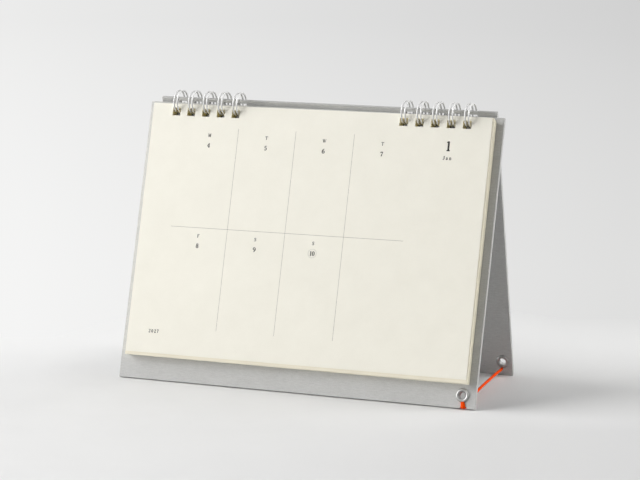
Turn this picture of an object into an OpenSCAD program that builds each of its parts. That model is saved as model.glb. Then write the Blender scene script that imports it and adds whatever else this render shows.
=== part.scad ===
// Tent desk calendar: two stiff boards and a block of sheets on twin-loop wire
// bindings, held open by a short cord between two eyelets.
// X runs along the calendar, Y runs from front to back, Z is up from the table.

/* [Boards] */
// Width of the front board
front_w = 196; // [190:0.5:230]
// How far each side edge of the back board lies inside the front board's
back_inset = 4.9; // [1:0.1:8]
// Length of both boards from the foot to the top edge
board_len = 147.1; // [130:0.1:170]
// Thickness of both boards
board_t = 2; // [1.5:0.1:2.2]
// Lean of the front board back from upright, in degrees
lean = 17.35; // [14:0.05:20]
// Distance from the ring centre down to the plane of the front board's top edge
front_top_drop = 0.2; // [0:0.1:0.4]
// Height of the back board's top edge over the ring centre
back_top_rise = 0.7; // [0.4:0.1:0.8]
// Gap left between the boards when the calendar is folded flat
fold_gap = 0.3; // [0.2:0.05:0.5]

/* [Sheets] */
// Margin of front board left beside the sheets
side_margin = 4.05; // [1:0.05:8]
// Height of the first sheet's bottom edge over the front board's foot
foot_margin = 13.51; // [12:0.01:20]
// Thickness of the whole block of sheets
block_t = 4.6; // [3:0.1:4.8]
// How much lower the last sheet hangs than the first
sheet_drop = 1.5; // [0.5:0.1:1.6]
// Gap between the last sheet and the front board
block_gap = 0.1; // [0.1:0.05:0.3]
// Paper left above the holes of a sheet
sheet_margin = 2.06; // [1.8:0.02:2.6]
// Height of the holes in the sheets
sheet_hole_h = 4.2; // [4:0.1:4.8]
// Play of the first sheet's holes above the wire
sheet_play = 1.6; // [1.4:0.05:1.8]

/* [Wire binding] */
// Diameter of the wire
wire_d = 0.9; // [0.7:0.05:1]
// Distance between the two wires of one loop
twin = 1.86; // [1.6:0.02:2]
// Distance between neighbouring loops, three to the inch
pitch = 8.467; // [8:0.001:9]
// Loops in one binding
loops = 5; // [3:1:6]
// Middle of each binding from the side edge of the sheets
binding_in = 30.45; // [28:0.05:36]
// Radius of the loops' round ends
loop_r = 5.8; // [5.6:0.05:5.9]
// Straight stretch at the top and bottom of a loop
loop_flat = 1.4; // [1.2:0.05:1.6]
// Distance of the loops' centre in front of the front board's rear face
ring_out = 3.4; // [3.3:0.05:3.5]
// Width of the punched holes
hole_w = 4.4; // [3.8:0.1:4.8]
// Height of the punched holes in the boards
board_hole_h = 5; // [4.8:0.1:5.2]

/* [Eyelets] */
// Bore of the eyelets
eyelet_bore = 3.5; // [3:0.1:4]
// Metal thickness of the eyelets
eyelet_wall = 0.3; // [0.2:0.05:0.4]
// Height of the rolled flange that shows
flange_rise = 0.9; // [0.7:0.05:1.1]
// Height of the clinched rim on the far side
clinch_rise = 0.65; // [0.5:0.05:0.8]
// Clearance between eyelet and board around the barrel
eyelet_clear = 0.05; // [0.03:0.01:0.15]
// Eyelet centre from the front board's side edge
front_eyelet_in = 6.9; // [6:0.1:9]
// Eyelet centre above the front board's foot
front_eyelet_up = 6.5; // [6:0.1:8]
// Eyelet centre from the back board's side edge
back_eyelet_in = 5.2; // [4.5:0.1:8]
// Eyelet centre above the back board's foot
back_eyelet_up = 7.9; // [7:0.1:9]

/* [Cord] */
// Diameter of the cord
cord_d = 1.4; // [1.2:0.05:1.6]
// Width of the notch that lets the cord pass under the front board
notch_w = 3.4; // [3.2:0.1:4]
// Depth of the notch
notch_h = 0.9; // [0.9:0.05:1.2]

/* [Hidden] */

$fn = 32;
eps = 0.5;

// Ring centre, along the front board and in the foot frame, whose Y starts at
// the front board's rear bottom edge
ring_up = board_len + front_top_drop;
ring_y = ring_up * sin(lean) - ring_out * cos(lean);
ring_z = ring_up * cos(lean) + ring_out * sin(lean);

// The back board stands on its inner bottom edge, which fixes its lean
back_in = ring_out + fold_gap;
back_reach = board_len - back_top_rise;
back_lean = acos(ring_z / norm([back_reach, back_in])) - atan(back_in / back_reach);

// Depth of a wire loop below the ring centre, in a plane that lies d away from it
function loop_drop(d) = sqrt(loop_r * loop_r - d * d);
front_hole_up = ring_up - loop_drop(ring_out - board_t / 2);
back_hole_up = -loop_drop(back_in + board_t / 2);

// Widths that follow from the front board's
back_w = front_w - 2 * back_inset;
sheet_w = front_w - 2 * side_margin;
group_x = sheet_w / 2 - binding_in;

// Sheets: the block's faces and the first sheet's edges, along the front board
block_rear = board_t + block_gap;
block_front = block_rear + block_t;
loop_half = loop_r + loop_flat / 2;
front_off = block_front - ring_out;
first_hole_top = ring_up - sqrt(loop_half * loop_half - front_off * front_off) + wire_d / 2 + sheet_play;
first_top = first_hole_top + sheet_margin;
first_bottom = foot_margin;
sheet_steps = 8;

// Wire: the corner bends of the spine, the places of tips and spine on the loop
bend_r = 1.2;
tip_angle = 14;
spine_angle = -8;
joint_angle = 0.6;
bead_d = wire_d + 0.04;
wire_sides = 24;

// Eyelets
bore_r = eyelet_bore / 2;
barrel_r = bore_r + eyelet_wall;
eyelet_hole_r = barrel_r + eyelet_clear;
front_eyelet_x = front_w / 2 - front_eyelet_in;
back_eyelet_x = back_w / 2 - back_eyelet_in;

// The origin lies under the middle of the box, which reaches from the block's
// lower front edge to the back board's lower outer edge
y_front = first_bottom * sin(lean) - block_front * cos(lean);
y_rear = ring_y + back_reach * sin(back_lean) + (back_in + board_t) * cos(back_lean);
y_mid = (y_front + y_rear) / 2;

// Cord: it passes a little outside the front eyelet. Its route points are X from
// the notch, Y and Z in the foot frame, width and thickness; it runs slantwise
// to the back eyelet, flattened where the board stands over it
notch_x = front_eyelet_x + 0.9;
cord_route = [
    [-0.5, -1.40, 3.50, 2.0, 0.8],
    [-0.2, -1.80, 2.20, 2.3, 0.8],
    [-0.1, -1.96, 1.58, 2.5, 0.8],
    [0, -1.86, 1.20, 2.6, 0.8],
    [0, -1.48, 0.95, 2.7, 0.8],
    [0, -0.80, 0.72, 2.7, 0.8],
    [0, -0.06, 0.50, 2.6, 0.8],
    [0, 1.00, 0.60, 2.3, 0.9],
    [-0.1, 4.00, 0.95, 1.8, 1.2],
    [-0.4, 8.00, 1.60, cord_d, cord_d],
    [-0.8, 14.00, 2.40, cord_d, cord_d],
    [-1.2, 20.00, 2.90, cord_d, cord_d],
    [-1.7, 26.00, 3.20, cord_d, cord_d],
    [-2.1, 33.00, 3.40, cord_d, cord_d],
    [-2.6, 40.00, 3.50, cord_d, cord_d],
    [-3.1, 48.00, 3.55, cord_d, cord_d],
    [-3.6, 56.00, 3.50, cord_d, cord_d],
    [-4.1, 64.00, 3.50, cord_d, cord_d],
    [-4.5, 71.00, 3.45, cord_d, cord_d],
    [-4.6, 75.70, 3.50, cord_d, cord_d]
];
cord_sides = 8;

// Frames: the front board's and the back board's own axes are X, up along the
// board, and out of its outer face
module at_front() {
    translate([0, -y_mid, 0]) rotate([90 - lean, 0, 0]) children();
}

module at_back() {
    translate([0, ring_y - y_mid, ring_z]) rotate([90 + back_lean, 0, 0]) children();
}

function hole_x(i) = (i - (loops - 1) / 2) * pitch;

// Places its child at each punched hole of both bindings
module at_holes() {
    for (side = [-1, 1], i = [0:loops - 1])
        translate([side * group_x + hole_x(i), 0, 0]) children();
}

module front_board() {
    color("gainsboro") at_front() difference() {
        translate([-front_w / 2, 0, 0]) cube([front_w, board_len, board_t]);
        at_holes() translate([-hole_w / 2, front_hole_up - board_hole_h / 2, -eps])
            cube([hole_w, board_hole_h, board_t + 2 * eps]);
        translate([front_eyelet_x, front_eyelet_up, -eps])
            cylinder(r = eyelet_hole_r, h = board_t + 2 * eps);
        translate([notch_x - notch_w / 2, -eps, -eps]) cube([notch_w, notch_h + eps, board_t + 2 * eps]);
    }
}

module back_board() {
    color("silver") at_back() difference() {
        translate([-back_w / 2, -back_reach, -back_in - board_t]) cube([back_w, board_len, board_t]);
        at_holes() translate([-hole_w / 2, back_hole_up - board_hole_h / 2, -back_in - board_t - eps])
            cube([hole_w, board_hole_h, board_t + 2 * eps]);
        translate([back_eyelet_x, back_eyelet_up - back_reach, -back_in - board_t - eps])
            cylinder(r = eyelet_hole_r, h = board_t + 2 * eps);
    }
}

// Side view of a stretch of the block between two heights on the first sheet:
// the sheets behind the first hang lower, as they follow the curve of the loops
function edge(up, spare) = [
    for (k = [0:sheet_steps])
        let (t = k / sheet_steps)
        [up - sheet_drop * t * t, block_front - block_t * t + spare * (1 - 2 * t)]
];

function reversed(list) = [for (k = [len(list) - 1:-1:0]) list[k]];

module sheets_between(bottom, top, width, spare) {
    rotate([90, 0, 90]) linear_extrude(height = width, center = true)
        polygon(concat(edge(bottom, spare), reversed(edge(top, spare))));
}

module sheet_block() {
    color("ivory") at_front() difference() {
        sheets_between(first_bottom, first_top, sheet_w, 0);
        at_holes() sheets_between(first_hole_top - sheet_hole_h, first_hole_top, hole_w, eps);
    }
}

// Round wire bent to a radius, from one angle to another
module bend(radius, from, to) {
    rotate([0, 0, from]) rotate_extrude(angle = to - from)
        translate([radius, 0]) circle(d = wire_d, $fn = wire_sides);
}

module bead() {
    sphere(d = bead_d, $fn = wire_sides);
}

// One wire of a loop in its own plane, X to the rear and Y up, open at the rear
// between the spine below and the tip above
module loop_wire() {
    translate([loop_flat / 2, 0, 0]) {
        mirror([0, 1, 0]) bend(loop_r, 270, 360 - tip_angle - joint_angle);
        bend(loop_r, 270, 360 + spine_angle - joint_angle);
    }
    translate([-loop_flat / 2, 0, 0]) bend(loop_r, 90, 270);
    for (side = [-1, 1])
        translate([-loop_flat / 2, side * loop_r, 0]) rotate([0, 90, 0])
            cylinder(d = wire_d, h = loop_flat, $fn = wire_sides);
}

// A place on the rear of a loop, with Z along the binding and Y along the wire
module on_loop(angle, along) {
    translate([loop_flat / 2, 0, 0]) rotate([0, 0, angle]) translate([loop_r, 0, along]) children();
}

// Corner of the spine: it leaves the wire at x and turns along the binding
module spine_corner(x, way) {
    on_loop(spine_angle, x) bead();
    on_loop(spine_angle, x + way * bend_r) {
        if (way > 0) rotate([0, 90, 0]) bend(bend_r, joint_angle, 90 - joint_angle);
        else rotate([0, 90, 0]) bend(bend_r, 90 + joint_angle, 180 - joint_angle);
        translate([0, bend_r, 0]) bead();
    }
}

// A binding of twin loops: each loop is two wires joined by a round tip, and
// the spine joins it to the next loop
module binding() {
    rotate([90, 0, 90]) {
        for (i = [0:loops - 1]) {
            for (side = [-1, 1]) {
                translate([0, 0, i * pitch + side * twin / 2]) loop_wire();
                on_loop(tip_angle, i * pitch + side * twin / 2) bead();
            }
            on_loop(tip_angle, i * pitch) rotate([0, 90, 0])
                bend(twin / 2, 180 + joint_angle, 360 - joint_angle);
        }
        for (i = [0:loops - 2]) {
            spine_corner(i * pitch + twin / 2, 1);
            spine_corner((i + 1) * pitch - twin / 2, -1);
            on_loop(spine_angle, i * pitch + twin / 2 + bend_r) translate([0, bend_r, 0])
                cylinder(d = wire_d, h = pitch - twin - 2 * bend_r, $fn = wire_sides);
        }
    }
}

module at_ring(middle) {
    translate([middle + hole_x(0), ring_y - y_mid, ring_z]) children();
}

module wire_left() {
    color("lightsteelblue") at_ring(-group_x) binding();
}

module wire_right() {
    color("lightsteelblue") at_ring(group_x) binding();
}

// Half section of a rolled rim: it leaves the barrel and comes down on the board
module rim_section(rise) {
    translate([bore_r + rise, 0]) difference() {
        circle(r = rise);
        circle(r = rise - eyelet_wall);
        translate([-2 * rise, -2 * rise]) square([4 * rise, 2 * rise]);
    }
}

// Eyelet through a board that lies between Z 0 and board_t, flange on top
module eyelet() {
    rotate_extrude($fn = 64) {
        translate([bore_r, 0]) square([eyelet_wall, board_t]);
        translate([0, board_t]) rim_section(flange_rise);
        mirror([0, 1]) rim_section(clinch_rise);
    }
}

module front_eyelet() {
    color("gray") at_front() translate([front_eyelet_x, front_eyelet_up, 0]) eyelet();
}

module back_eyelet() {
    color("gray") at_back()
        translate([back_eyelet_x, back_eyelet_up - back_reach, -back_in - board_t]) eyelet();
}

function unit(v) = v / norm(v);

function place(p) = [notch_x + p[0], p[1], p[2]];

// Direction of the cord at point k, from the points before and after it
function heading(k) =
    let (next = min(k + 1, len(cord_route) - 1), previous = max(k - 1, 0))
    unit(place(cord_route[next]) - place(cord_route[previous]));

// Ring of points around route point k, flat side along X
function cord_ring(k) =
    let (
        ahead = heading(k),
        side = unit([1, 0, 0] - ahead[0] * ahead),
        up = cross(side, ahead),
        p = cord_route[k]
    )
    [
        for (j = [0:cord_sides - 1])
            let (a = 360 * (j + 0.5) / cord_sides)
            place(p) + side * cos(a) * p[3] / 2 + up * sin(a) * p[4] / 2
    ];

module tie_cord() {
    last = (len(cord_route) - 1) * cord_sides;
    color("orangered") translate([0, -y_mid, 0]) polyhedron(
        points = [for (k = [0:len(cord_route) - 1]) each cord_ring(k)],
        faces = concat(
            [[for (j = [cord_sides - 1:-1:0]) j]],
            [
                for (k = [0:len(cord_route) - 2], j = [0:cord_sides - 1])
                    let (n = (j + 1) % cord_sides, a = k * cord_sides)
                    [a + j, a + n, a + cord_sides + n, a + cord_sides + j]
            ],
            [[for (j = [0:cord_sides - 1]) last + j]]
        )
    );
}

front_board();
back_board();
sheet_block();
wire_left();
wire_right();
front_eyelet();
back_eyelet();
tie_cord();
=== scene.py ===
import math
import random

import bpy
from mathutils import Matrix, Vector


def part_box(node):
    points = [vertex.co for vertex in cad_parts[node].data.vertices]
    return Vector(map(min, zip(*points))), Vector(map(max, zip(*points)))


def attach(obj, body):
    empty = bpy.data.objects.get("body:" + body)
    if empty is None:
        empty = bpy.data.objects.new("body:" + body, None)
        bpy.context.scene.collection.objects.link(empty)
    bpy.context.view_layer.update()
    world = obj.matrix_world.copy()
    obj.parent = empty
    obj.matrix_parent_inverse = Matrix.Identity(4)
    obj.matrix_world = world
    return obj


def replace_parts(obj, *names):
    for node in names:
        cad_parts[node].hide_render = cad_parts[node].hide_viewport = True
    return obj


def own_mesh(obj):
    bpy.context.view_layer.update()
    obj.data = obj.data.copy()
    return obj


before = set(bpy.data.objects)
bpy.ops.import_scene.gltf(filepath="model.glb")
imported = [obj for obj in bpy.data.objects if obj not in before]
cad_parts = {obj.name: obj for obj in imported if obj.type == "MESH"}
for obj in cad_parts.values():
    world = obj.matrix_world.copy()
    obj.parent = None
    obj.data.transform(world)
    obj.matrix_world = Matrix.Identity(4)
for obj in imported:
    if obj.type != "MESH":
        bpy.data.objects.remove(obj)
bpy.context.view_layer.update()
random.seed(27)

MM = 0.001

# Sizes of the calendar in millimetres, named as in the CAD model
FRONT_W = 196.0
BACK_INSET = 4.9
BOARD_LEN = 147.1
BOARD_T = 2.0
LEAN = math.radians(17.35)
FRONT_TOP_DROP = 0.2
BACK_TOP_RISE = 0.7
FOLD_GAP = 0.3
SIDE_MARGIN = 4.05
FOOT_MARGIN = 13.51
BLOCK_T = 4.6
SHEET_DROP = 1.5
BLOCK_GAP = 0.1
SHEET_MARGIN = 2.06
SHEET_HOLE_H = 4.2
SHEET_PLAY = 1.6
WIRE_D = 0.9
TWIN = 1.86
PITCH = 8.467
LOOPS = 5
BINDING_IN = 30.45
LOOP_R = 5.8
LOOP_FLAT = 1.4
RING_OUT = 3.4
HOLE_W = 4.4
BOARD_HOLE_H = 5.0
BEND_R = 1.2
TIP_ANGLE = math.radians(14)
SPINE_ANGLE = math.radians(-8)
EYELET_BORE = 3.5
EYELET_WALL = 0.3
FLANGE_RISE = 0.9
CLINCH_RISE = 0.65
EYELET_CLEAR = 0.05
FRONT_EYELET_IN = 6.9
FRONT_EYELET_UP = 6.5
BACK_EYELET_IN = 5.2
BACK_EYELET_UP = 7.9
CORD_D = 1.4
NOTCH_X = 92.0
NOTCH_W = 3.4
NOTCH_H = 0.9

# Values that follow from them
BACK_W = FRONT_W - 2 * BACK_INSET
SHEET_W = FRONT_W - 2 * SIDE_MARGIN
GROUP_X = SHEET_W / 2 - BINDING_IN
RING_UP = BOARD_LEN + FRONT_TOP_DROP
RING_Y = RING_UP * math.sin(LEAN) - RING_OUT * math.cos(LEAN)
RING_Z = RING_UP * math.cos(LEAN) + RING_OUT * math.sin(LEAN)
BACK_IN = RING_OUT + FOLD_GAP
BACK_REACH = BOARD_LEN - BACK_TOP_RISE
BACK_LEAN = math.acos(RING_Z / math.hypot(BACK_REACH, BACK_IN)) - math.atan(BACK_IN / BACK_REACH)
BLOCK_FRONT = BOARD_T + BLOCK_GAP + BLOCK_T
FRONT_OFF = BLOCK_FRONT - RING_OUT
HOLE_TOP = (RING_UP - math.sqrt((LOOP_R + LOOP_FLAT / 2) ** 2 - FRONT_OFF ** 2)
            + WIRE_D / 2 + SHEET_PLAY)
SHEET_TOP = HOLE_TOP + SHEET_MARGIN
SHEET_H = SHEET_TOP - FOOT_MARGIN
EYELET_HOLE_R = EYELET_BORE / 2 + EYELET_WALL + EYELET_CLEAR
# The eyelets' middles, each in the frame of its own board
FRONT_EYELET = (FRONT_W / 2 - FRONT_EYELET_IN, FRONT_EYELET_UP)
BACK_EYELET = (BACK_W / 2 - BACK_EYELET_IN, BACK_EYELET_UP - BACK_REACH)
# Y of the front board's foot in the shared frame
FOOT_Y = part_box("front_board")[1].y / MM - BOARD_LEN * math.sin(LEAN)


def foot(x, y, z):
    """A place in millimetres from the front board's foot, as a point of the shared frame."""
    return Vector((x, y + FOOT_Y, z)) * MM


# The boards' own frames take millimetres: X, up along the board, and out of its face.
# The front board's starts at its foot, on its rear face.
FRONT_FRAME = (Matrix.Translation(foot(0, 0, 0)) @ Matrix.Rotation(math.pi / 2 - LEAN, 4, "X")
               @ Matrix.Scale(MM, 4))
RING_FRAME = Matrix.Translation(foot(0, RING_Y, RING_Z))
# The back board's starts level with the ring centre, on its rear face, with Z to the front
BACK_FRAME = (RING_FRAME @ Matrix.Rotation(math.pi / 2 + BACK_LEAN, 4, "X")
              @ Matrix.Translation((0, 0, -(BACK_IN + BOARD_T) * MM)) @ Matrix.Scale(MM, 4))


def add_object(name, data):
    obj = bpy.data.objects.new(name, data)
    bpy.context.scene.collection.objects.link(obj)
    return obj


def direction(azimuth, elevation):
    """Unit vector from the calendar, with azimuth 0 straight to the front."""
    return Vector((math.sin(azimuth) * math.cos(elevation),
                   -math.cos(azimuth) * math.cos(elevation),
                   math.sin(elevation)))


# Camera, at the photograph's viewing angle
CAMERA_AZIMUTH = math.radians(21.74)
CAMERA_ELEVATION = math.radians(9.99)
CAMERA_DISTANCE = 1217.85
CAMERA_TARGET = (14.81, 0.0, 80.26)
CAMERA_LENS = 136.18
CAMERA_SENSOR = 36
CAMERA_CLIP = 20


def make_camera():
    data = bpy.data.cameras.new("camera")
    data.sensor_width = CAMERA_SENSOR
    data.lens = CAMERA_LENS
    data.clip_end = CAMERA_CLIP
    camera = add_object("camera", data)
    back = direction(CAMERA_AZIMUTH, CAMERA_ELEVATION)
    camera.location = foot(*CAMERA_TARGET) + back * CAMERA_DISTANCE * MM
    camera.rotation_euler = (math.pi / 2 - CAMERA_ELEVATION, 0, CAMERA_AZIMUTH)
    bpy.context.scene.camera = camera


make_camera()


# Mesh helpers
CIRCLE_SIDES = 48
BEVEL_STEPS = 2


def smooth(mesh, sharp_from):
    """Smooth shading, with the edges above an angle in degrees left sharp."""
    mesh.shade_smooth()
    mesh.set_sharp_from_angle(angle=math.radians(sharp_from))


def make_object(name, verts, faces, material, matrix=None, sharp_from=None):
    """Object of points and faces, flat shaded where no angle for sharp edges is given."""
    mesh = bpy.data.meshes.new(name)
    mesh.from_pydata([tuple(v) for v in verts], [], faces)
    if matrix is not None:
        mesh.transform(matrix)
    mesh.validate()
    mesh.materials.append(material)
    if sharp_from is not None:
        smooth(mesh, sharp_from)
    return add_object(name, mesh)


def plate_mesh(outline, holes, thickness, bevel):
    """Mesh of a flat plate with holes, in millimetres: outline in X and Y, from Z 0 up."""
    curve = bpy.data.curves.new("plate", "CURVE")
    curve.dimensions = "2D"
    curve.fill_mode = "BOTH"
    curve.extrude = thickness / 2 - bevel
    curve.bevel_depth = bevel
    curve.bevel_resolution = BEVEL_STEPS
    curve.offset = -bevel
    for ring in [outline] + holes:
        spline = curve.splines.new("POLY")
        spline.points.add(len(ring) - 1)
        for point, (x, y) in zip(spline.points, ring):
            point.co = (x, y, 0, 1)
        spline.use_cyclic_u = True
    obj = add_object("plate", curve)
    graph = bpy.context.evaluated_depsgraph_get()
    mesh = bpy.data.meshes.new_from_object(obj.evaluated_get(graph))
    bpy.data.objects.remove(obj)
    bpy.data.curves.remove(curve)
    mesh.transform(Matrix.Translation((0, 0, thickness / 2)))
    return mesh


def lies_flat(face):
    """True for a plate's broad faces, false for its edges and the walls of its holes."""
    return abs(face.normal.z) > 0.5


def rectangle(x0, y0, x1, y1):
    return [(x0, y0), (x1, y0), (x1, y1), (x0, y1)]


def circle(x, y, radius):
    return [(x + radius * math.cos(2 * math.pi * k / CIRCLE_SIDES),
             y + radius * math.sin(2 * math.pi * k / CIRCLE_SIDES)) for k in range(CIRCLE_SIDES)]


def loop_columns(middle):
    """X of each loop of a binding, and of the punched holes that it passes."""
    return [middle + (i - (LOOPS - 1) / 2) * PITCH for i in range(LOOPS)]


def punched_holes(bottom, top):
    return [rectangle(x - HOLE_W / 2, bottom, x + HOLE_W / 2, top)
            for middle in (-GROUP_X, GROUP_X) for x in loop_columns(middle)]


def sweep(centres, sides, section):
    """Tube along centres; section(k, angle) gives the offset across and up at a ring."""
    rings = []
    across = Vector((1, 0, 0))
    for k, centre in enumerate(centres):
        ahead = (centres[min(k + 1, len(centres) - 1)] - centres[max(k - 1, 0)]).normalized()
        across = (across - ahead * across.dot(ahead)).normalized()
        up = ahead.cross(across)
        for j in range(sides):
            a, b = section(k, 2 * math.pi * j / sides)
            rings.append(centre + across * a + up * b)
    faces = []
    for k in range(len(centres) - 1):
        for j in range(sides):
            n = (j + 1) % sides
            faces.append((k * sides + j, (k + 1) * sides + j, (k + 1) * sides + n, k * sides + n))
    last = (len(centres) - 1) * sides
    faces.append(tuple(range(sides)))
    faces.append(tuple(last + j for j in reversed(range(sides))))
    return rings, faces


def dress(obj, body):
    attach(obj, body)
    return obj


# Node helpers: all but the first add nodes to a tree and return an output
NOISE_ROUGHNESS = 0.6


def feed(tree, node, values):
    """Gives a node's inputs the outputs of other nodes, or plain colours and numbers."""
    for key, value in values.items():
        socket = node.inputs[key]
        if isinstance(value, bpy.types.NodeSocket):
            tree.links.new(value, socket)
        else:
            socket.default_value = (*value, 1) if socket.type == "RGBA" else value


def object_coords(tree):
    return tree.nodes.new("ShaderNodeTexCoord").outputs["Object"]


def mapped(tree, coords, scale=(1, 1, 1), rotation=(0, 0, 0)):
    node = tree.nodes.new("ShaderNodeMapping")
    feed(tree, node, {"Vector": coords, "Scale": scale, "Rotation": rotation})
    return node.outputs["Vector"]


def noise(tree, coords, scale, detail):
    node = tree.nodes.new("ShaderNodeTexNoise")
    feed(tree, node, {"Vector": coords, "Scale": scale, "Detail": detail, "Roughness": NOISE_ROUGHNESS})
    return node.outputs["Fac"]


def ramp(tree, value, dark, light, edge=0.3):
    """A colour between dark and light, as the value runs from edge to 1 - edge."""
    node = tree.nodes.new("ShaderNodeValToRGB")
    feed(tree, node, {"Fac": value})
    for element, position, colour in zip(node.color_ramp.elements, (edge, 1 - edge), (dark, light)):
        element.position = position
        element.color = (*colour, 1)
    return node.outputs["Color"]


def mix(tree, kind, factor, a, b):
    """Mix of two numbers, with kind FLOAT, or of two colours, with kind RGBA."""
    node = tree.nodes.new("ShaderNodeMix")
    node.data_type = kind
    feed(tree, node, {"Factor": factor, "A": a, "B": b})
    return node.outputs["Result"]


def bump(tree, height, strength, distance):
    node = tree.nodes.new("ShaderNodeBump")
    feed(tree, node, {"Height": height, "Strength": strength, "Distance": distance})
    return node.outputs["Normal"]


def map_range(tree, value, low, high, to_min, to_max):
    node = tree.nodes.new("ShaderNodeMapRange")
    feed(tree, node, {"Value": value, "From Min": low, "From Max": high,
                      "To Min": to_min, "To Max": to_max})
    return node.outputs["Result"]


def combine(tree, operation, a, b):
    node = tree.nodes.new("ShaderNodeMath")
    node.operation = operation
    feed(tree, node, {0: a, 1: b})
    return node.outputs[0]


# Materials
def new_material(name):
    material = bpy.data.materials.new(name)
    material.use_nodes = True
    return material, material.node_tree, material.node_tree.nodes["Principled BSDF"]


def board_material(name, dark, light):
    """Uncoated grey board: fine pulp mottle, longer fibres, soft tooth."""
    material, tree, shader = new_material(name)
    coords = object_coords(tree)
    fine = noise(tree, coords, scale=2600, detail=3)
    fibres = noise(tree, mapped(tree, coords, scale=(320, 2400, 2400)), scale=1.0, detail=4)
    cloud = noise(tree, coords, scale=60, detail=3)
    mottle = mix(tree, "FLOAT", 0.5, fine, fibres)
    feed(tree, shader, {
        "Base Color": ramp(tree, mix(tree, "FLOAT", 0.12, mottle, cloud), dark, light),
        "Roughness": 0.85,
        "Specular IOR Level": 0.3,
        "Normal": bump(tree, mottle, strength=0.5, distance=0.00008),
    })
    return material


def paper_material(name, dark, light):
    """Uncoated cream paper: very even, with a faint tooth and cloudy formation."""
    material, tree, shader = new_material(name)
    coords = object_coords(tree)
    fine = noise(tree, coords, scale=3000, detail=3)
    cloud = noise(tree, coords, scale=90, detail=4)
    feed(tree, shader, {
        "Base Color": ramp(tree, mix(tree, "FLOAT", 0.5, fine, cloud), dark, light, edge=0.25),
        "Roughness": 0.8,
        "Specular IOR Level": 0.25,
        "Normal": bump(tree, fine, strength=0.25, distance=0.00003),
    })
    return material


def ink_material(name, dark, light):
    """Printing ink that takes the paper's fine unevenness."""
    material, tree, shader = new_material(name)
    fine = noise(tree, object_coords(tree), scale=6000, detail=2)
    feed(tree, shader, {"Base Color": ramp(tree, fine, dark, light), "Roughness": 0.7})
    return material


def wire_material():
    """Plated wire, dulled by its lacquer, with faint drawing marks."""
    material, tree, shader = new_material("plated_wire")
    marks = noise(tree, object_coords(tree), scale=1800, detail=4)
    feed(tree, shader, {
        "Base Color": ramp(tree, marks, (0.58, 0.58, 0.575), (0.67, 0.67, 0.66)),
        "Roughness": map_range(tree, marks, 0, 1, 0.46, 0.56),
        "Metallic": 0.45,
    })
    return material


def eyelet_material():
    """Pressed and nickel-plated metal, a little scuffed."""
    material, tree, shader = new_material("eyelet_metal")
    scuffs = noise(tree, object_coords(tree), scale=2200, detail=5)
    feed(tree, shader, {
        "Base Color": ramp(tree, scuffs, (0.34, 0.34, 0.335), (0.43, 0.43, 0.42)),
        "Roughness": map_range(tree, scuffs, 0, 1, 0.33, 0.46),
        "Metallic": 1.0,
        "Normal": bump(tree, scuffs, strength=0.15, distance=0.00003),
    })
    return material


def cord_material():
    """Orange braid: yarn by yarn colour change, and hardly any shine."""
    material, tree, shader = new_material("orange_braid")
    yarn = noise(tree, object_coords(tree), scale=2500, detail=4)
    feed(tree, shader, {
        "Base Color": ramp(tree, yarn, (0.86, 0.055, 0.001), (0.93, 0.092, 0.002)),
        "Roughness": 0.85,
        "Specular IOR Level": 0.08,
        "Normal": bump(tree, yarn, strength=0.3, distance=0.00005),
    })
    return material


BOARD = board_material("grey_board", (0.46, 0.46, 0.45), (0.65, 0.65, 0.64))
# A darker copy of the board's tone for its cut edges and the walls of its holes: painted shade, darkening
# edges that the lamps light more strongly.
BOARD_EDGE_SHADED = board_material("board_cut_edge_painted_shade", (0.37, 0.37, 0.36), (0.50, 0.50, 0.485))
PAPER = paper_material("cream_paper", (0.86, 0.835, 0.74), (0.92, 0.895, 0.80))
# Cut paper edges: yellower than the faces, as the paper's edges are, and lighter than them as painted
# glow, in place of light that passes through the stack.
PAPER_EDGE_AND_GLOW = paper_material("paper_edges_and_painted_glow", (0.92, 0.86, 0.68), (0.97, 0.93, 0.78))
# A darker, yellower copy of the paper for the face of the first full sheet: painted shade on the stepped
# face that shows below the trimmed top sheets.
PAPER_UNDER_PAINTED_SHADE = paper_material("cream_paper_under_painted_shade", (0.79, 0.74, 0.60), (0.85, 0.80, 0.66))
# A deep golden copy of the paper for the walls of the punched holes: painted light, the warm glow of
# light bounced between the cream sheets in the narrow holes.
PAPER_HOLE_PAINTED_BOUNCE = paper_material("punched_paper_painted_bounce", (0.84, 0.70, 0.22), (0.94, 0.82, 0.34))
INK = ink_material("ink", (0.018, 0.017, 0.013), (0.034, 0.032, 0.026))
RULE = ink_material("ruling_ink", (0.14, 0.13, 0.10), (0.20, 0.185, 0.145))
WIRE = wire_material()
EYELET = eyelet_material()
CORD = cord_material()


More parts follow.
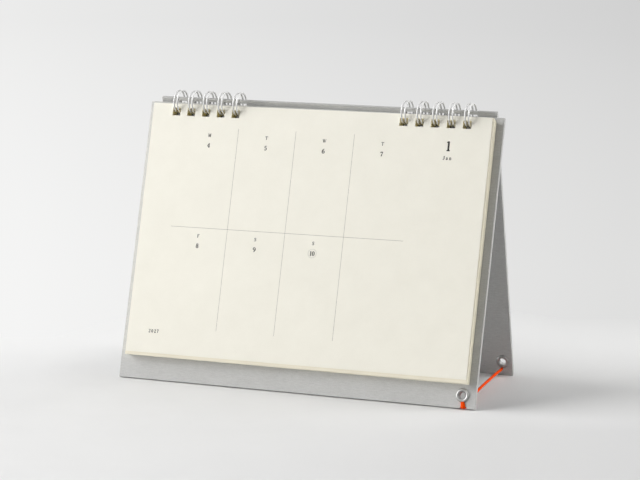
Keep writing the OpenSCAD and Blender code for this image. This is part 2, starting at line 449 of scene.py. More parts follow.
# Cord: the route's points from the front board's foot, with the cord's width and thickness.
# Its ends are clamped under the eyelets' rims, a little beyond the CAD route.
CORD_ROUTE = [
    (91.45, -1.28, 3.90, 1.9, 0.7),
    (91.5, -1.40, 3.50, 2.0, 0.8),
    (91.8, -1.80, 2.20, 2.3, 0.8),
    (91.9, -1.96, 1.58, 2.5, 0.8),
    (92.0, -1.86, 1.20, 2.6, 0.8),
    (92.0, -1.48, 0.95, 2.7, 0.8),
    (92.0, -0.80, 0.72, 2.7, 0.8),
    (92.0, -0.06, 0.50, 2.6, 0.8),
    (92.0, 1.00, 0.60, 2.3, 0.9),
    (91.9, 4.00, 0.95, 1.8, 1.2),
    (91.6, 8.00, 1.60, CORD_D, CORD_D),
    (91.2, 14.00, 2.40, CORD_D, CORD_D),
    (90.8, 20.00, 2.90, CORD_D, CORD_D),
    (90.3, 26.00, 3.20, CORD_D, CORD_D),
    (89.9, 33.00, 3.40, CORD_D, CORD_D),
    (89.4, 40.00, 3.50, CORD_D, CORD_D),
    (88.9, 48.00, 3.55, CORD_D, CORD_D),
    (88.4, 56.00, 3.50, CORD_D, CORD_D),
    (87.9, 64.00, 3.50, CORD_D, CORD_D),
    (87.5, 71.00, 3.45, CORD_D, CORD_D),
    (87.4, 75.70, 3.50, CORD_D, CORD_D),
    (87.4, 76.40, 4.25, CORD_D, 1.2),
]
CORD_STEP = 0.2
CORD_SIDES = 40
# Behind this Y of the route the cord is a piece of its own, with a mesh of its own
CORD_SPLIT = 0.6
BRAID_STRANDS = 6
BRAID_PITCH = 5.5
BRAID_DEPTH = 0.05


def spline_points(rows, step):
    """Smooth run through rows of numbers, the first three of them a place, about step apart."""
    rows = [rows[0]] + list(rows) + [rows[-1]]
    result = []
    for k in range(1, len(rows) - 2):
        p0, p1, p2, p3 = rows[k - 1:k + 3]
        count = max(2, int(math.dist(p1[:3], p2[:3]) / step))
        for i in range(count):
            t = i / count
            result.append([0.5 * (2 * b + (c - a) * t + (2 * a - 5 * b + 4 * c - d) * t * t
                                  + (3 * b - a - 3 * c + d) * t ** 3)
                           for a, b, c, d in zip(p0, p1, p2, p3)])
    result.append(list(rows[-2]))
    return result


def make_cord():
    rows = spline_points(CORD_ROUTE, CORD_STEP)
    centres = [foot(*row[:3]) for row in rows]
    along = [0.0]
    for a, b in zip(centres, centres[1:]):
        along.append(along[-1] + (b - a).length / MM)

    def section(k, angle):
        turn = 2 * math.pi * along[k] / BRAID_PITCH
        left = math.cos(BRAID_STRANDS * angle + turn * BRAID_STRANDS / 2)
        right = math.cos(BRAID_STRANDS * angle - turn * BRAID_STRANDS / 2)
        relief = BRAID_DEPTH * (max(left, right) - 1.0)
        width, thick = rows[k][3] / 2 + relief, rows[k][4] / 2 + relief
        return width * math.cos(angle) * MM, thick * math.sin(angle) * MM

    def piece(name, first, last):
        verts, faces = sweep(centres[first:last + 1], CORD_SIDES,
                             lambda k, angle: section(first + k, angle))
        obj = make_object(name, verts, faces, CORD, sharp_from=80)
        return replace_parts(dress(obj, "front"), "tie_cord")

    split = next(k for k, row in enumerate(rows) if row[1] > CORD_SPLIT)
    front_end = piece("tie_cord_front_end", 0, split)
    cord = piece("tie_cord_braid", split, len(centres) - 1)
    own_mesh(cord)


make_cord()


# Boards
BOARD_BEVEL = 0.12


def loop_drop(depth):
    """How far under the ring centre the loops pass through a board that lies at this depth."""
    return math.sqrt(LOOP_R ** 2 - depth ** 2)


FRONT_HOLE_UP = RING_UP - loop_drop(RING_OUT - BOARD_T / 2)
BACK_HOLE_UP = -loop_drop(BACK_IN + BOARD_T / 2)


def make_board(name, outline, hole_up, eyelet, matrix, body, node):
    holes = punched_holes(hole_up - BOARD_HOLE_H / 2, hole_up + BOARD_HOLE_H / 2)
    mesh = plate_mesh(outline, holes + [circle(*eyelet, EYELET_HOLE_R)], BOARD_T, BOARD_BEVEL)
    mesh.materials.clear()
    mesh.materials.append(BOARD)
    mesh.materials.append(BOARD_EDGE_SHADED)
    # Broad faces take the board's tone; edges and hole walls take its darker copy, which is painted
    # shade.
    for face in mesh.polygons:
        face.material_index = 0 if lies_flat(face) else 1
    mesh.transform(matrix)
    mesh.name = name
    smooth(mesh, sharp_from=30)
    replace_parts(dress(add_object(name, mesh), body), node)


def front_outline():
    """The front board with the notch in its foot that lets the cord pass."""
    half = FRONT_W / 2
    left, right = NOTCH_X - NOTCH_W / 2, NOTCH_X + NOTCH_W / 2
    return [(-half, 0), (left, 0), (left, NOTCH_H), (right, NOTCH_H), (right, 0), (half, 0),
            (half, BOARD_LEN), (-half, BOARD_LEN)]


make_board("front_board_skin", front_outline(), FRONT_HOLE_UP, FRONT_EYELET,
           FRONT_FRAME, "front", "front_board")
make_board("back_board_skin", rectangle(-BACK_W / 2, -BACK_REACH, BACK_W / 2, BACK_TOP_RISE),
           BACK_HOLE_UP, BACK_EYELET, BACK_FRAME, "back", "back_board")


# Sheets
SHEET_COUNT = 54
SHEET_PITCH = BLOCK_T / SHEET_COUNT
SHEET_T = SHEET_PITCH * 0.93
TOP_SHEET_TURN = math.radians(0.18)
TOP_SHEET_SHIFT = -0.1
SHEET_FAN = 0.1
# The most by which a sheet lies askew at random: turned in radians, shifted and dropped
ASKEW_TURN = 0.0006
ASKEW_SHIFT = 0.09
ASKEW_DROP = 0.05
# The first sheets are trimmed in width and height; each other one is longer by this share of
# what it hangs higher than the last
TOP_SHEETS = 2
TOP_SHEET_TRIM = 0.5
TOP_SHEET_RISE = 0.3
LEVEL_SHARE = 0.95
# Points this near the sheet's edge count as its edge, and its holes lie further in than this
AT_EDGE = 0.01
HOLE_IN = 0.5
PLAIN_SLOT, EDGE_GLOW_SLOT, HOLE_BOUNCE_SLOT, UNDER_SHADE_SLOT = range(4)


def sheet_matrix(number):
    """Place of a sheet in the front board's frame; the sheets lie a little askew in the binding."""
    depth = number / (SHEET_COUNT - 1)
    turn = TOP_SHEET_TURN * (1 - depth) ** 3
    shift = TOP_SHEET_SHIFT + SHEET_FAN * depth ** 0.5
    drop = SHEET_DROP * depth ** 2
    if number:
        turn += random.uniform(-ASKEW_TURN, ASKEW_TURN)
        shift += random.uniform(-ASKEW_SHIFT, ASKEW_SHIFT)
        drop += random.uniform(-ASKEW_DROP, ASKEW_DROP)
    place = (shift, SHEET_TOP - drop - SHEET_H / 2, BLOCK_FRONT - SHEET_PITCH * (number + 1))
    return Matrix.Translation(place) @ Matrix.Rotation(turn, 4, "Z")


def paper_slot(face):
    """Material of a sheet's faces, of its outer edges, which are lightened as painted glow, or of the
    walls of its punched holes, which carry painted bounce light.
    """
    if lies_flat(face):
        return PLAIN_SLOT
    x, y, _ = face.center
    inside = abs(x) < SHEET_W / 2 - HOLE_IN and abs(y) < SHEET_H / 2 - HOLE_IN
    return HOLE_BOUNCE_SLOT if inside else EDGE_GLOW_SLOT


def cut_to_size(vert, number):
    """The top sheets are cut a little short; the others end level at the bottom."""
    x, y, z = vert
    if number < TOP_SHEETS and x > SHEET_W / 2 - AT_EDGE:
        x -= TOP_SHEET_TRIM
    if y < AT_EDGE - SHEET_H / 2:
        depth = number / (SHEET_COUNT - 1)
        y += TOP_SHEET_RISE if number < TOP_SHEETS else -LEVEL_SHARE * SHEET_DROP * (1 - depth ** 2)
    return Vector((x, y, z))


def make_sheets():
    hole_top = SHEET_H / 2 - SHEET_MARGIN
    template = plate_mesh(rectangle(-SHEET_W / 2, -SHEET_H / 2, SHEET_W / 2, SHEET_H / 2),
                          punched_holes(hole_top - SHEET_HOLE_H, hole_top), SHEET_T, 0)
    verts = [v.co.copy() for v in template.vertices]
    polys = [tuple(p.vertices) for p in template.polygons]
    slots = [paper_slot(p) for p in template.polygons]
    bpy.data.meshes.remove(template)
    for name, numbers in (("top_sheet", [0]), ("lower_sheets", range(1, SHEET_COUNT))):
        all_verts, all_faces, all_slots = [], [], []
        for number in numbers:
            matrix = sheet_matrix(number)
            # The face of the first sheet under the trimmed ones takes the darker copy of the paper, as
            # painted shade.
            plain = UNDER_SHADE_SLOT if number == TOP_SHEETS else PLAIN_SLOT
            start = len(all_verts)
            all_verts += [matrix @ cut_to_size(v, number) for v in verts]
            all_faces += [tuple(start + i for i in p) for p in polys]
            all_slots += [plain if slot == PLAIN_SLOT else slot for slot in slots]
        obj = make_object(name, all_verts, all_faces, PAPER, FRONT_FRAME)
        for material in (PAPER_EDGE_AND_GLOW, PAPER_HOLE_PAINTED_BOUNCE, PAPER_UNDER_PAINTED_SHADE):
            obj.data.materials.append(material)
        for face, slot in zip(obj.data.polygons, all_slots):
            face.material_index = slot
        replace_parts(dress(obj, "sheets"), "sheet_block")


make_sheets()


# Print on the top sheet, in millimetres from the sheet's middle and its bottom edge
PRINT_LIFT = 0.01
RULE_W = 0.13
COLUMN_LINES = (-43.86, -11.58, 20.70)
COLUMN_REACH = 53.2
CROSS_LINE_UP = 67.3
CROSS_LINE = (-76.1, 53.0)
COLUMN_MIDDLES = (-59.9, -27.6, 4.6, 36.5)
LETTER_UP = (116.3, 63.05)
LETTER_H = 1.7
LETTER_WEIGHT = 1.55
NUMBER_UP = (111.0, 57.85)
NUMBER_H = 2.3
NUMBER_WEIGHT = 1.75
WEEK = (("M", "4"), ("T", "5"), ("W", "6"), ("T", "7"), ("F", "8"), ("S", "9"), ("S", "10"))
# Column and row of the number with the ring round it
RINGED = (2, 1)
DAY_RING_R = 2.25
DAY_RING_W = 0.09
DAY_RING_SIDES = 64
PRINT_FRAME = (FRONT_FRAME @ sheet_matrix(0)
               @ Matrix.Translation((0, -SHEET_H / 2, SHEET_T + PRINT_LIFT)))


def make_print(name, verts, faces, ink, matrix=PRINT_FRAME):
    dress(make_object(name, verts, faces, ink, matrix), "sheets")


def make_ruling():
    verts, faces = [], []

    def strip(x0, y0, x1, y1):
        start = len(verts)
        verts.extend([(x0, y0, 0), (x1, y0, 0), (x1, y1, 0), (x0, y1, 0)])
        faces.append((start, start + 1, start + 2, start + 3))

    under, over = CROSS_LINE_UP - RULE_W / 2, CROSS_LINE_UP + RULE_W / 2
    for x in COLUMN_LINES:
        left, right = x - RULE_W / 2, x + RULE_W / 2
        strip(left, CROSS_LINE_UP - COLUMN_REACH, right, under)
        strip(left, over, right, CROSS_LINE_UP + COLUMN_REACH)
    strip(CROSS_LINE[0], under, CROSS_LINE[1], over)
    make_print("ruling", verts, faces, RULE)


make_ruling()


# Letters and figures with serifs, drawn as strokes of varying width in units of
# the capitals' height: each stroke is a run of points (x, y, width)
CURVE_STEP = 0.035
SERIF_T = 0.04
THINNEST = 0.08
LETTER_GAP = 0.08


def ring_stroke(x, y, rx, ry, thick=0.14, thin=0.05, count=28):
    """A round stroke, thick where it runs upright and thin at its top and bottom."""
    points = []
    for k in range(count + 1):
        angle = 2 * math.pi * k / count
        points.append((x + rx * math.cos(angle), y + ry * math.sin(angle),
                       thin + (thick - thin) * abs(math.cos(angle)) ** 1.5))
    return points


def curve_stroke(*points):
    return [tuple(p) for p in spline_points(points, CURVE_STEP)]


def line_stroke(x0, y0, x1, y1, width):
    return [(x0, y0, width), (x1, y1, width)]


def serif(x, y, reach, way):
    """A flat serif whose outer face lies at y; way is 1 if the stem rises from it."""
    return [(x - reach, y + way * SERIF_T / 2, SERIF_T), (x + reach, y + way * SERIF_T / 2, SERIF_T)]


def stem(x, top, width=0.14, foot_reach=0.15, head_reach=0.0):
    """An upright stroke from the line, with a serif at its foot and perhaps one at its head."""
    strokes = [line_stroke(x, 0, x, top, width), serif(x, 0, foot_reach, 1)]
    if head_reach:
        strokes.append(serif(x, top, head_reach, -1))
    return strokes


SIX = [ring_stroke(0.31, 0.30, 0.23, 0.28),
       curve_stroke((0.53, 0.93, 0.08), (0.40, 0.96, 0.05), (0.24, 0.86, 0.09), (0.13, 0.67, 0.13),
                    (0.08, 0.45, 0.14), (0.08, 0.28, 0.13))]
# Each letter's or figure's advance and strokes
GLYPHS = {
    "M": (0.98, stem(0.17, 1, 0.06, 0.13) + stem(0.81, 1)
          + [serif(0.12, 1, 0.12, -1), serif(0.86, 1, 0.12, -1),
             line_stroke(0.19, 0.97, 0.48, 0.08, 0.14), line_stroke(0.48, 0.05, 0.77, 0.97, 0.06)]),
    "T": (0.84, stem(0.42, 1)
          + [line_stroke(0.03, 0.97, 0.81, 0.97, 0.06), line_stroke(0.05, 0.98, 0.04, 0.76, 0.05),
             line_stroke(0.79, 0.98, 0.80, 0.76, 0.05)]),
    "W": (1.18, [line_stroke(0.15, 0.98, 0.40, 0.03, 0.14), line_stroke(0.40, 0.03, 0.60, 0.94, 0.06),
                 line_stroke(0.58, 0.98, 0.83, 0.03, 0.14), line_stroke(0.83, 0.03, 1.05, 0.97, 0.06),
                 serif(0.15, 1, 0.14, -1), serif(0.58, 1, 0.12, -1), serif(1.05, 1, 0.12, -1)]),
    "F": (0.74, stem(0.21, 1, 0.14, 0.16, 0.12)
          + [line_stroke(0.2, 0.97, 0.68, 0.97, 0.06), line_stroke(0.67, 0.99, 0.68, 0.76, 0.05),
             line_stroke(0.2, 0.52, 0.52, 0.52, 0.05), line_stroke(0.51, 0.62, 0.51, 0.42, 0.05)]),
    "S": (0.64, [curve_stroke((0.55, 0.74, 0.04), (0.50, 0.90, 0.05), (0.33, 0.975, 0.05),
                              (0.16, 0.91, 0.09), (0.11, 0.76, 0.13), (0.20, 0.61, 0.14),
                              (0.37, 0.50, 0.15), (0.51, 0.38, 0.14), (0.54, 0.22, 0.12),
                              (0.45, 0.07, 0.07), (0.28, 0.025, 0.05), (0.12, 0.10, 0.05),
                              (0.07, 0.27, 0.04)),
                 line_stroke(0.56, 0.98, 0.55, 0.72, 0.04), line_stroke(0.06, 0.28, 0.05, 0.02, 0.04)]),
    "J": (0.60, [curve_stroke((0.38, 1.00, 0.14), (0.38, 0.70, 0.14), (0.38, 0.35, 0.14),
                              (0.36, 0.14, 0.11), (0.26, 0.03, 0.06), (0.15, 0.03, 0.05),
                              (0.08, 0.12, 0.09), (0.10, 0.19, 0.12)),
                 serif(0.38, 1, 0.17, -1)]),
    "a": (0.58, [curve_stroke((0.10, 0.53, 0.11), (0.13, 0.60, 0.08), (0.24, 0.655, 0.05),
                              (0.36, 0.60, 0.09), (0.39, 0.48, 0.12), (0.39, 0.25, 0.12),
                              (0.40, 0.09, 0.10), (0.46, 0.03, 0.06), (0.55, 0.06, 0.03)),
                 curve_stroke((0.39, 0.40, 0.04), (0.22, 0.34, 0.05), (0.10, 0.25, 0.11),
                              (0.10, 0.11, 0.12), (0.19, 0.02, 0.06), (0.31, 0.06, 0.04),
                              (0.39, 0.15, 0.03))]),
    "n": (0.72, stem(0.17, 0.64, 0.12, 0.13) + stem(0.55, 0.46, 0.12, 0.13)
          + [line_stroke(0.05, 0.61, 0.18, 0.64, 0.04),
             curve_stroke((0.21, 0.48, 0.03), (0.31, 0.61, 0.05), (0.43, 0.64, 0.08),
                          (0.53, 0.58, 0.12), (0.55, 0.44, 0.12))]),
    "0": (0.62, [ring_stroke(0.31, 0.49, 0.22, 0.47)]),
    "1": (0.46, stem(0.25, 0.97, 0.14, 0.18)
          + [curve_stroke((0.06, 0.86, 0.03), (0.16, 0.89, 0.06), (0.24, 0.96, 0.05))]),
    "2": (0.62, [curve_stroke((0.12, 0.74, 0.13), (0.11, 0.84, 0.08), (0.28, 0.965, 0.05),
                              (0.46, 0.88, 0.12), (0.49, 0.72, 0.14), (0.40, 0.50, 0.10),
                              (0.22, 0.27, 0.06), (0.10, 0.08, 0.05)),
                 line_stroke(0.07, 0.06, 0.54, 0.06, 0.12), line_stroke(0.55, 0.02, 0.57, 0.26, 0.04)]),
    "4": (0.66, stem(0.44, 0.98)
          + [line_stroke(0.42, 0.95, 0.05, 0.31, 0.06), line_stroke(0.04, 0.29, 0.63, 0.29, 0.07)]),
    "5": (0.60, [line_stroke(0.12, 0.94, 0.52, 0.94, 0.10), line_stroke(0.13, 0.97, 0.11, 0.52, 0.05),
                 curve_stroke((0.11, 0.52, 0.04), (0.27, 0.61, 0.05), (0.44, 0.53, 0.12),
                              (0.50, 0.33, 0.14), (0.43, 0.12, 0.11), (0.27, 0.025, 0.05),
                              (0.12, 0.09, 0.08), (0.10, 0.19, 0.13))]),
    "6": (0.62, SIX),
    "7": (0.60, [line_stroke(0.06, 0.93, 0.56, 0.93, 0.12), line_stroke(0.05, 0.98, 0.05, 0.72, 0.04),
                 curve_stroke((0.55, 0.93, 0.06), (0.42, 0.62, 0.08), (0.31, 0.33, 0.12),
                              (0.28, 0.02, 0.15))]),
    "8": (0.62, [ring_stroke(0.31, 0.74, 0.18, 0.22, 0.12), ring_stroke(0.31, 0.27, 0.22, 0.25)]),
    "9": (0.62, [[(0.62 - x, 0.98 - y, w) for x, y, w in stroke] for stroke in SIX]),
}


def stroke_mesh(stroke, verts, faces):
    """Adds a stroke to the lists as a strip of faces, each end cut square."""
    start = len(verts)
    for k, (x, y, width) in enumerate(stroke):
        x0, y0, x1, y1 = *stroke[max(k - 1, 0)][:2], *stroke[min(k + 1, len(stroke) - 1)][:2]
        length = math.hypot(x1 - x0, y1 - y0)
        nx, ny = (y0 - y1) / length * width / 2, (x1 - x0) / length * width / 2
        verts += [(x + nx, y + ny, 0), (x - nx, y - ny, 0)]
    for k in range(len(stroke) - 1):
        a = start + 2 * k
        faces.append((a, a + 1, a + 3, a + 2))


def make_text(name, words, x, y, height, weight, gap=LETTER_GAP):
    """Words centred on a place of the sheet, with a weight for the strokes and a gap between letters."""
    verts, faces = [], []
    width = sum(GLYPHS[c][0] for c in words) + gap * (len(words) - 1)
    at = -width / 2
    for c in words:
        advance, strokes = GLYPHS[c]
        for stroke in strokes:
            placed = [(px + at, py - 0.5, max(w, THINNEST) * weight) for px, py, w in stroke]
            stroke_mesh(placed, verts, faces)
        at += advance + gap
    verts = [(x + px * height, y + py * height, pz) for px, py, pz in verts]
    make_print(name, verts, faces, INK)


for place, (letter, number) in enumerate(WEEK):
    row, column = divmod(place, len(COLUMN_MIDDLES))
    middle = COLUMN_MIDDLES[column]
    make_text(f"weekday_{number}", letter, middle, LETTER_UP[row], LETTER_H, LETTER_WEIGHT)
    make_text(f"day_{number}", number, middle, NUMBER_UP[row], NUMBER_H, NUMBER_WEIGHT)
make_text("month_number", "1", x=71.7, y=116.9, height=5.0, weight=1.4)
make_text("month_name", "Jan", x=71.65, y=110.7, height=1.8, weight=1.8, gap=0.32)
make_text("year", "2027", x=-79.1, y=11.7, height=1.7, weight=1.7, gap=0.3)


def make_day_ring():
    """The printed ring round the week's last number."""
    verts, faces = [], []
    stroke_mesh(ring_stroke(0, 0, DAY_RING_R, DAY_RING_R, DAY_RING_W, DAY_RING_W, DAY_RING_SIDES),
                verts, faces)
    column, row = RINGED
    place = Matrix.Translation((COLUMN_MIDDLES[column], NUMBER_UP[row], 0))
    make_print("day_ring", verts, faces, RULE, PRINT_FRAME @ place)


make_day_ring()


# Wire bindings, each one length of wire bent into twin loops
WIRE_SIDES = 16
WIRE_STEP = 0.35
# Points nearer to each other than this are left out
WIRE_LEAST = 0.05
# How thick the wire's two cut ends are, as a share of the rest
WIRE_END = 0.86


def on_loop(angle, tangential, x):
    """A point of the loop's rear stretch, moved along its tangent there."""
    return Vector((x, LOOP_FLAT / 2 + LOOP_R * math.cos(angle) - tangential * math.sin(angle),
                   LOOP_R * math.sin(angle) + tangential * math.cos(angle)))


def arc_steps(radius, angle):
    return max(4, int(radius * abs(angle) / WIRE_STEP))


def wire_run(x):
    """One wire of a loop, from the spine round the front to the tip."""
    points = []
    for start, end, middle in ((SPINE_ANGLE, -math.pi / 2, LOOP_FLAT / 2),
                               (-math.pi / 2, -1.5 * math.pi, -LOOP_FLAT / 2),
                               (-1.5 * math.pi, TIP_ANGLE - 2 * math.pi, LOOP_FLAT / 2)):
        count = arc_steps(LOOP_R, end - start)
        for k in range(count + 1):
            angle = start + (end - start) * k / count
            points.append(Vector((x, middle + LOOP_R * math.cos(angle), LOOP_R * math.sin(angle))))
    return points


def corner(x, way):
    """The spine's quarter bend that leaves the wire at x and turns along the binding."""
    count = arc_steps(BEND_R, math.pi / 2)
    points = []
    for k in range(count + 1):
        angle = math.pi / 2 * k / count
        at = x + way * BEND_R * (1 - math.cos(angle))
        points.append(on_loop(SPINE_ANGLE, BEND_R * math.sin(angle), at))
    return points


def tip(x):
    """The half turn that joins the two wires of a loop at its tip."""
    count = arc_steps(TWIN / 2, math.pi)
    points = []
    for k in range(1, count):
        angle = math.pi * k / count
        at = x - TWIN / 2 * math.cos(angle)
        points.append(on_loop(TIP_ANGLE, -TWIN / 2 * math.sin(angle), at))
    return points


def binding_path(middle):
    points = []
    for i, x in enumerate(loop_columns(middle)):
        if i:
            points += reversed(corner(x - TWIN / 2, -1))
        points += wire_run(x - TWIN / 2)
        points += tip(x)
        points += reversed(wire_run(x + TWIN / 2))
        if i < LOOPS - 1:
            points += corner(x + TWIN / 2, 1)
    kept = [points[0]]
    for point in points[1:]:
        if (point - kept[-1]).length > WIRE_LEAST:
            kept.append(point)
    return kept


def make_binding(name, middle, node):
    centres = [RING_FRAME @ (p * MM) for p in binding_path(middle)]

    def section(k, angle):
        at_end = k in (0, len(centres) - 1)
        radius = WIRE_D / 2 * (WIRE_END if at_end else 1.0) * MM
        return radius * math.cos(angle), radius * math.sin(angle)

    verts, faces = sweep(centres, WIRE_SIDES, section)
    obj = make_object(name, verts, faces, WIRE, sharp_from=60)
    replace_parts(dress(obj, "front"), node)


make_binding("twin_loops_left", -GROUP_X, "wire_left")
make_binding("twin_loops_right", GROUP_X, "wire_right")


# Eyelets, turned from the section of their rolled rims
RIM_STEPS = 20
EYELET_SIDES = 72


def rim_profile(rise, level, way):
    """Points of a rolled rim from the barrel's bore over to the outer lip and back inside."""
    middle = EYELET_BORE / 2 + rise
    points = []
    for radius, side in ((rise, -1), (rise - EYELET_WALL, 1)):
        for k in range(RIM_STEPS + 1):
            angle = math.pi * k / RIM_STEPS
            points.append((middle + side * radius * math.cos(angle),
                           level + way * radius * math.sin(angle)))
    return points


def make_eyelet(name, x, up, matrix, body, node):
    profile = rim_profile(FLANGE_RISE, BOARD_T, 1) + rim_profile(CLINCH_RISE, 0, -1)[::-1]
    verts, faces = [], []
    for j in range(EYELET_SIDES):
        angle = 2 * math.pi * j / EYELET_SIDES
        verts += [(x + r * math.cos(angle), up + r * math.sin(angle), z) for r, z in profile]
    size = len(profile)
    for j in range(EYELET_SIDES):
        n = (j + 1) % EYELET_SIDES
        for k in range(size):
            m = (k + 1) % size
            faces.append((j * size + k, j * size + m, n * size + m, n * size + k))
    obj = make_object(name, verts, faces, EYELET, matrix, sharp_from=50)
    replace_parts(dress(obj, body), node)


make_eyelet("front_eyelet_turned", *FRONT_EYELET, FRONT_FRAME, "front", "front_eyelet")
make_eyelet("back_eyelet_turned", *BACK_EYELET, BACK_FRAME, "back", "back_eyelet")


# Floor and backdrop: one sheet that rises far behind the calendar, in metres.
# Its tones lie along the camera's view: across it, and away from the camera.
FLOOR_HALF_W = 5
FLOOR_PROFILE = [(-4.0, 0.0), (2.0, 0.0), (2.4, 0.04), (2.75, 0.2), (2.95, 0.5), (3.0, 1.0), (3.0, 4.0)]
# Colours seen near the calendar, with painted light to the right, which lightens the calendar's shadow,
# and painted shade in front, and the one that the rays that carry light meet
FLOOR_DARK = (0.785, 0.785, 0.78)
FLOOR_LIGHT = (0.805, 0.805, 0.80)
FLOOR_RIGHT_PAINTED_LIGHT = (0.92, 0.92, 0.91)
FLOOR_FRONT_PAINTED_SHADE = (0.655, 0.655, 0.655)
FLOOR_BOUNCE = (0.86, 0.86, 0.86)
# Where the painted light to the right and the painted shade in front set in, and how strong that shade is
# from left to right
RIGHT_ACROSS = (0.08, 0.15)
FRONT_AWAY = (-0.115, 0.0)
FRONT_ACROSS = (-0.12, 0.16)
FRONT_SHADE_AMOUNT = (0.3, 1)
# Background colours at the foot of the view and far away, and the stretch between them. The background
# glows, and its fall from left to right is painted light.
NEAR_LEFT = (0.91, 0.91, 0.905)
NEAR_RIGHT = (0.74, 0.74, 0.735)
FAR_LEFT = (0.835, 0.835, 0.83)
FAR_RIGHT = (0.64, 0.64, 0.64)
FAR_AWAY = (0.3, 2.2)
# The camera stands this far off, and its view reaches this far across for each metre away
VIEW_REACH = 1.2
VIEW_SLOPE = 0.13
# Where the floor passes into the background, and how much nearer that is at the two sides, where the
# glowing background paints over the floor's shadows
FADE_AWAY = (0.04, 0.2)
FADE_LEFT_ACROSS = (-0.15, -0.085)
FADE_LEFT = 0.1
FADE_RIGHT_ACROSS = (0.08, 0.14)
FADE_RIGHT = 0.05


def camera_axes(tree, coords):
    """The outputs X, across the camera's view, Y, away from the camera, and Z."""
    node = tree.nodes.new("ShaderNodeSeparateXYZ")
    feed(tree, node, {"Vector": mapped(tree, coords, rotation=(0, 0, -CAMERA_AZIMUTH))})
    return node.outputs


def looking_rays(tree):
    """1 for the rays that only look (camera, glossy, transmission), 0 for those that carry light."""
    path = tree.nodes.new("ShaderNodeLightPath")
    result = path.outputs["Is Camera Ray"]
    for name in ("Is Glossy Ray", "Is Transmission Ray"):
        result = combine(tree, "MAXIMUM", result, path.outputs[name])
    return result


def floor_painted_light_and_shade(tree, coords, across, away):
    """The floor near the calendar: a faint mottle, with painted light to the right and painted shade in
    front.
    """
    mottle = ramp(tree, noise(tree, coords, scale=30, detail=3), FLOOR_DARK, FLOOR_LIGHT)
    seen = mix(tree, "RGBA", map_range(tree, across, *RIGHT_ACROSS, 0, 1), mottle, FLOOR_RIGHT_PAINTED_LIGHT)
    front = combine(tree, "MULTIPLY", map_range(tree, away, *FRONT_AWAY, 1, 0),
                    map_range(tree, across, *FRONT_ACROSS, *FRONT_SHADE_AMOUNT))
    return mix(tree, "RGBA", front, seen, FLOOR_FRONT_PAINTED_SHADE)


def background_painted_glow(tree, across, away):
    """The glowing background: painted light, paler at the left and at the foot of the view."""
    spread = combine(tree, "DIVIDE", across, combine(tree, "ADD", away, VIEW_REACH))
    aside = map_range(tree, spread, -VIEW_SLOPE, VIEW_SLOPE, 0, 1)
    near = map_range(tree, away, *FAR_AWAY, 1, 0)
    return mix(tree, "RGBA", near, mix(tree, "RGBA", aside, FAR_LEFT, FAR_RIGHT),
               mix(tree, "RGBA", aside, NEAR_LEFT, NEAR_RIGHT))


def floor_material():
    """Matt floor paint that passes into a glowing background, painted light, for the rays that look."""
    material, tree, shader = new_material("floor_paint")
    coords = object_coords(tree)
    axes = camera_axes(tree, coords)
    across, away = axes["X"], axes["Y"]
    looks = looking_rays(tree)
    feed(tree, shader, {
        "Base Color": mix(tree, "RGBA", looks, FLOOR_BOUNCE, floor_painted_light_and_shade(tree, coords, across, away)),
        "Roughness": 0.9,
        "Specular IOR Level": 0.1,
    })
    # The background glows with painted light, in place of the lit floor and backdrop.
    background = tree.nodes.new("ShaderNodeEmission")
    feed(tree, background, {"Color": background_painted_glow(tree, across, away), "Strength": 1.0})
    nearer = combine(tree, "ADD", map_range(tree, across, *FADE_LEFT_ACROSS, FADE_LEFT, 0),
                     map_range(tree, across, *FADE_RIGHT_ACROSS, 0, FADE_RIGHT))
    fade = map_range(tree, combine(tree, "ADD", away, nearer), *FADE_AWAY, 0, 1)
    blend = tree.nodes.new("ShaderNodeMixShader")
    feed(tree, blend, {0: combine(tree, "MULTIPLY", fade, looks), 1: shader.outputs[0],
                       2: background.outputs[0]})
    feed(tree, tree.nodes["Material Output"], {"Surface": blend.outputs[0]})
    return material


def make_floor():
    verts = [(x, y, z) for y, z in FLOOR_PROFILE for x in (-FLOOR_HALF_W, FLOOR_HALF_W)]
    faces = [(k, k + 1, k + 3, k + 2) for k in range(0, len(verts) - 2, 2)]
    make_object("floor", verts, faces, floor_material(), sharp_from=80)


make_floor()

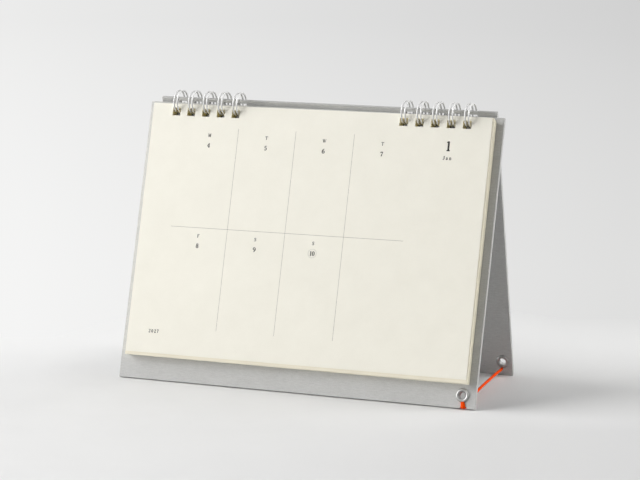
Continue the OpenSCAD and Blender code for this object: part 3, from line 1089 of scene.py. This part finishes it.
# Soft lamps round the calendar: azimuth and elevation in degrees, width and height in metres,
# power in watts
LAMPS = {
    "key": (-67, 27, 1.9, 1.95, 79),
    "right": (107, 14, 1.2, 0.9, 21),
    "back_right": (118, 38, 2.2, 2.2, 25),
    "back_left": (-150, 40, 1.6, 1.6, 5),
}
LAMP_REACH = 2.2
LAMP_AIM = Vector((0, 0, 0.07))


def make_lamp(name, azimuth, elevation, width, height, power):
    data = bpy.data.lights.new(name, "AREA")
    data.shape = "ELLIPSE" if width == height else "RECTANGLE"
    data.size = width
    data.size_y = height
    data.energy = power
    lamp = add_object(name, data)
    lamp.location = LAMP_REACH * direction(math.radians(azimuth), math.radians(elevation))
    lamp.rotation_euler = (LAMP_AIM - lamp.location).to_track_quat("-Z", "Y").to_euler()


for name, values in LAMPS.items():
    make_lamp(name, *values)


# The room's brightness as light, to rays that look, and to reflections of the photographer's side
ROOM_LIGHT = 0.02
ROOM_SEEN = 0.95
ROOM_FRONT = 0.15
# That side is darkest straight towards the camera, and fades out to the sides and upwards
ROOM_FRONT_AWAY = (-0.85, -0.35)
ROOM_FRONT_UP = (0.2, 0.7)


def make_world():
    """A pale room that adds next to no light; metal reflects it, darker where the photographer stands."""
    world = bpy.data.worlds.new("studio")
    bpy.context.scene.world = world
    world.use_nodes = True
    tree = world.node_tree
    axes = camera_axes(tree, tree.nodes.new("ShaderNodeTexCoord").outputs["Generated"])
    front = combine(tree, "MULTIPLY", map_range(tree, axes["Y"], *ROOM_FRONT_AWAY, 1, 0),
                    map_range(tree, axes["Z"], *ROOM_FRONT_UP, 1, 0))
    glossy = tree.nodes.new("ShaderNodeLightPath").outputs["Is Glossy Ray"]
    dark_side = combine(tree, "MULTIPLY", front, glossy)
    seen = map_range(tree, dark_side, 0, 1, ROOM_SEEN, ROOM_FRONT)
    feed(tree, tree.nodes["Background"], {
        "Color": (1, 1, 1),
        "Strength": mix(tree, "FLOAT", looking_rays(tree), ROOM_LIGHT, seen),
    })


make_world()

bpy.context.scene.view_settings.view_transform = "Standard"
